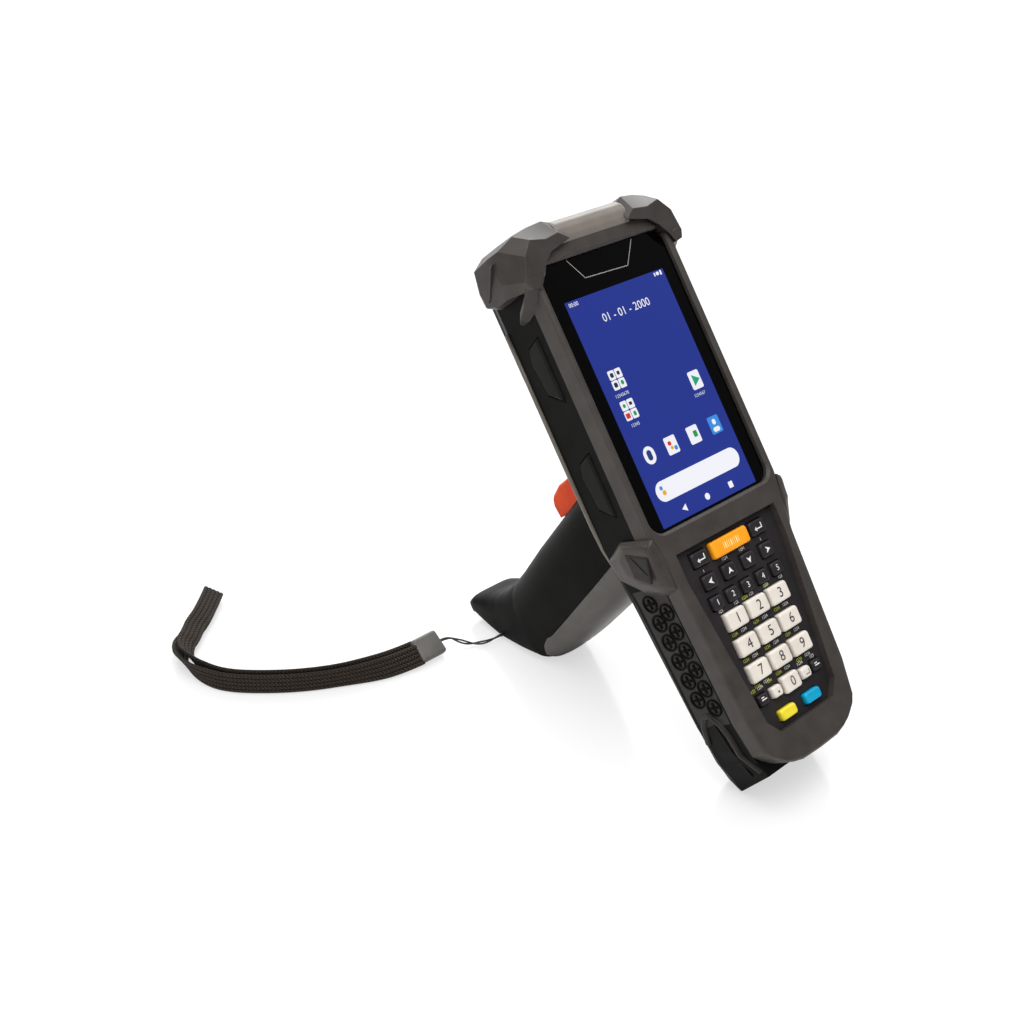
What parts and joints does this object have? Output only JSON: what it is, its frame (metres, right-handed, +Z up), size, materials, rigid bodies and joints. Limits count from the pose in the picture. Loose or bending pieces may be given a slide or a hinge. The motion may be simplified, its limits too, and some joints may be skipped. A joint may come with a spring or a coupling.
{
  "type": "portable barcode data terminal",
  "caption": "Rugged handheld scanning terminal with display, keypad, pistol grip with trigger and wrist lanyard.",
  "frame": {"origin": "middle of the flat base of the pistol grip, on the surface that the terminal stands on", "axes": "+Z up, +X to the right of someone who faces the display, -Y towards that person; the case leans back"},
  "size_m": [0.1777, 0.3029, 0.2101],
  "materials": {
    "frame_rubber": "matte overmoulded rubber, warm dark grey",
    "black_shell": "fine spark-eroded texture",
    "grey_cap": "satin",
    "black_glass": "polished cover glass, black printed",
    "display_body": "sheet metal can",
    "keypad_black": "satin",
    "mat_silicone": "moulded silicone",
    "board": "solder mask",
    "palm_rubber": "moulded",
    "steel": "turned",
    "string_cord": "twisted",
    "clip_grey": "moulded",
    "strap_web": "braided",
    "orange_trigger": "satin",
    "side_key_rubber": "moulded",
    "black_key": "hard silicone",
    "white_key": "satin",
    "orange_key": "satin",
    "yellow_key": "satin",
    "blue_key": "satin"
  },
  "bodies": {
    "case": {"front_frame": "frame_rubber", "rear_housing": "black_shell", "top_bumper_left": "frame_rubber", "top_bumper_right": "frame_rubber", "mid_bumper_left": "frame_rubber", "mid_bumper_right": "frame_rubber", "top_cap": "grey_cap", "display_glass": "black_glass", "display_module": "display_body", "keypad_plate": "keypad_black", "keypad_mat": "mat_silicone", "scan_window": "black_glass", "scan_engine": "black_shell", "main_board": "board", "battery_pack": "black_shell", "grip_shell": "black_shell", "grip_pad": "palm_rubber", "trigger_pin": "steel", "trigger_switch": "keypad_black", "case_screws": "steel", "lanyard_post": "steel", "lanyard_string": "string_cord", "lanyard_clip": "clip_grey", "lanyard_strap": "strap_web"},
    "trigger": {"trigger": "orange_trigger"},
    "battery_latch": {"battery_latch": "keypad_black"},
    "key_scan": {"key_scan": "orange_key"},
    "key_enter_left": {"key_enter_left": "black_key"},
    "key_enter_right": {"key_enter_right": "black_key"},
    "key_left": {"key_left": "black_key"},
    "key_up": {"key_up": "black_key"},
    "key_down": {"key_down": "black_key"},
    "key_right": {"key_right": "black_key"},
    "key_f1": {"key_f1": "black_key"},
    "key_f2": {"key_f2": "black_key"},
    "key_f3": {"key_f3": "black_key"},
    "key_f4": {"key_f4": "black_key"},
    "key_f5": {"key_f5": "black_key"},
    "key_1": {"key_1": "white_key"},
    "key_2": {"key_2": "white_key"},
    "key_3": {"key_3": "white_key"},
    "key_4": {"key_4": "white_key"},
    "key_5": {"key_5": "white_key"},
    "key_6": {"key_6": "white_key"},
    "key_7": {"key_7": "white_key"},
    "key_8": {"key_8": "white_key"},
    "key_9": {"key_9": "white_key"},
    "key_0": {"key_0": "white_key"},
    "key_point": {"key_point": "white_key"},
    "key_back": {"key_back": "white_key"},
    "key_escape": {"key_escape": "black_key"},
    "key_tab": {"key_tab": "black_key"},
    "key_yellow": {"key_yellow": "yellow_key"},
    "key_blue": {"key_blue": "blue_key"},
    "side_button_left_upper": {"side_button_left_upper": "side_key_rubber"},
    "side_button_left_lower": {"side_button_left_lower": "side_key_rubber"},
    "side_button_right_upper": {"side_button_right_upper": "side_key_rubber"},
    "side_button_right_lower": {"side_button_right_lower": "side_key_rubber"}
  },
  "joints": [
    {"name": "key_scan_press", "type": "slide", "parent": "case", "child": "key_scan", "axis": [0, 0.8103, -0.5859], "range_m": [0, 0.0008], "stiffness_N_per_m": 900},
    {"name": "key_enter_left_press", "type": "slide", "parent": "case", "child": "key_enter_left", "axis": [0, 0.8103, -0.5859], "range_m": [0, 0.0008], "stiffness_N_per_m": 900},
    {"name": "key_enter_right_press", "type": "slide", "parent": "case", "child": "key_enter_right", "axis": [0, 0.8103, -0.5859], "range_m": [0, 0.0008], "stiffness_N_per_m": 900},
    {"name": "key_left_press", "type": "slide", "parent": "case", "child": "key_left", "axis": [0, 0.8103, -0.5859], "range_m": [0, 0.0008], "stiffness_N_per_m": 900},
    {"name": "key_up_press", "type": "slide", "parent": "case", "child": "key_up", "axis": [0, 0.8103, -0.5859], "range_m": [0, 0.0008], "stiffness_N_per_m": 900},
    {"name": "key_down_press", "type": "slide", "parent": "case", "child": "key_down", "axis": [0, 0.8103, -0.5859], "range_m": [0, 0.0008], "stiffness_N_per_m": 900},
    {"name": "key_right_press", "type": "slide", "parent": "case", "child": "key_right", "axis": [0, 0.8103, -0.5859], "range_m": [0, 0.0008], "stiffness_N_per_m": 900},
    {"name": "key_f1_press", "type": "slide", "parent": "case", "child": "key_f1", "axis": [0, 0.8103, -0.5859], "range_m": [0, 0.0008], "stiffness_N_per_m": 900},
    {"name": "key_f2_press", "type": "slide", "parent": "case", "child": "key_f2", "axis": [0, 0.8103, -0.5859], "range_m": [0, 0.0008], "stiffness_N_per_m": 900},
    {"name": "key_f3_press", "type": "slide", "parent": "case", "child": "key_f3", "axis": [0, 0.8103, -0.5859], "range_m": [0, 0.0008], "stiffness_N_per_m": 900},
    {"name": "key_f4_press", "type": "slide", "parent": "case", "child": "key_f4", "axis": [0, 0.8103, -0.5859], "range_m": [0, 0.0008], "stiffness_N_per_m": 900},
    {"name": "key_f5_press", "type": "slide", "parent": "case", "child": "key_f5", "axis": [0, 0.8103, -0.5859], "range_m": [0, 0.0008], "stiffness_N_per_m": 900},
    {"name": "key_1_press", "type": "slide", "parent": "case", "child": "key_1", "axis": [0, 0.8103, -0.5859], "range_m": [0, 0.0008], "stiffness_N_per_m": 900},
    {"name": "key_2_press", "type": "slide", "parent": "case", "child": "key_2", "axis": [0, 0.8103, -0.5859], "range_m": [0, 0.0008], "stiffness_N_per_m": 900},
    {"name": "key_3_press", "type": "slide", "parent": "case", "child": "key_3", "axis": [0, 0.8103, -0.5859], "range_m": [0, 0.0008], "stiffness_N_per_m": 900},
    {"name": "key_4_press", "type": "slide", "parent": "case", "child": "key_4", "axis": [0, 0.8103, -0.5859], "range_m": [0, 0.0008], "stiffness_N_per_m": 900},
    {"name": "key_5_press", "type": "slide", "parent": "case", "child": "key_5", "axis": [0, 0.8103, -0.5859], "range_m": [0, 0.0008], "stiffness_N_per_m": 900},
    {"name": "key_6_press", "type": "slide", "parent": "case", "child": "key_6", "axis": [0, 0.8103, -0.5859], "range_m": [0, 0.0008], "stiffness_N_per_m": 900},
    {"name": "key_7_press", "type": "slide", "parent": "case", "child": "key_7", "axis": [0, 0.8103, -0.5859], "range_m": [0, 0.0008], "stiffness_N_per_m": 900},
    {"name": "key_8_press", "type": "slide", "parent": "case", "child": "key_8", "axis": [0, 0.8103, -0.5859], "range_m": [0, 0.0008], "stiffness_N_per_m": 900},
    {"name": "key_9_press", "type": "slide", "parent": "case", "child": "key_9", "axis": [0, 0.8103, -0.5859], "range_m": [0, 0.0008], "stiffness_N_per_m": 900},
    {"name": "key_0_press", "type": "slide", "parent": "case", "child": "key_0", "axis": [0, 0.8103, -0.5859], "range_m": [0, 0.0008], "stiffness_N_per_m": 900},
    {"name": "key_point_press", "type": "slide", "parent": "case", "child": "key_point", "axis": [0, 0.8103, -0.5859], "range_m": [0, 0.0008], "stiffness_N_per_m": 900},
    {"name": "key_back_press", "type": "slide", "parent": "case", "child": "key_back", "axis": [0, 0.8103, -0.5859], "range_m": [0, 0.0008], "stiffness_N_per_m": 900},
    {"name": "key_escape_press", "type": "slide", "parent": "case", "child": "key_escape", "axis": [0, 0.8103, -0.5859], "range_m": [0, 0.0008], "stiffness_N_per_m": 900},
    {"name": "key_tab_press", "type": "slide", "parent": "case", "child": "key_tab", "axis": [0, 0.8103, -0.5859], "range_m": [0, 0.0008], "stiffness_N_per_m": 900},
    {"name": "key_yellow_press", "type": "slide", "parent": "case", "child": "key_yellow", "axis": [0, 0.8103, -0.5859], "range_m": [0, 0.0008], "stiffness_N_per_m": 900},
    {"name": "key_blue_press", "type": "slide", "parent": "case", "child": "key_blue", "axis": [0, 0.8103, -0.5859], "range_m": [0, 0.0008], "stiffness_N_per_m": 900},
    {"name": "side_button_left_upper_press", "type": "slide", "parent": "case", "child": "side_button_left_upper", "axis": [1, 0, 0], "range_m": [0, 0.0006], "stiffness_N_per_m": 900},
    {"name": "side_button_left_lower_press", "type": "slide", "parent": "case", "child": "side_button_left_lower", "axis": [1, 0, 0], "range_m": [0, 0.0006], "stiffness_N_per_m": 900},
    {"name": "side_button_right_upper_press", "type": "slide", "parent": "case", "child": "side_button_right_upper", "axis": [-1, 0, 0], "range_m": [0, 0.0006], "stiffness_N_per_m": 900},
    {"name": "side_button_right_lower_press", "type": "slide", "parent": "case", "child": "side_button_right_lower", "axis": [-1, 0, 0], "range_m": [0, 0.0006], "stiffness_N_per_m": 900},
    {"name": "trigger_pull", "type": "hinge", "parent": "case", "child": "trigger", "pos_m": [0, -0.04217, 0.103], "axis": [-1, 0, 0], "range_deg": [0, 6], "stiffness_Nm_per_rad": 2},
    {"name": "battery_latch_slide", "type": "slide", "parent": "case", "child": "battery_latch", "axis": [0, -0.5859, -0.8103], "range_m": [0, 0.0025], "stiffness_N_per_m": 300}
  ]
}
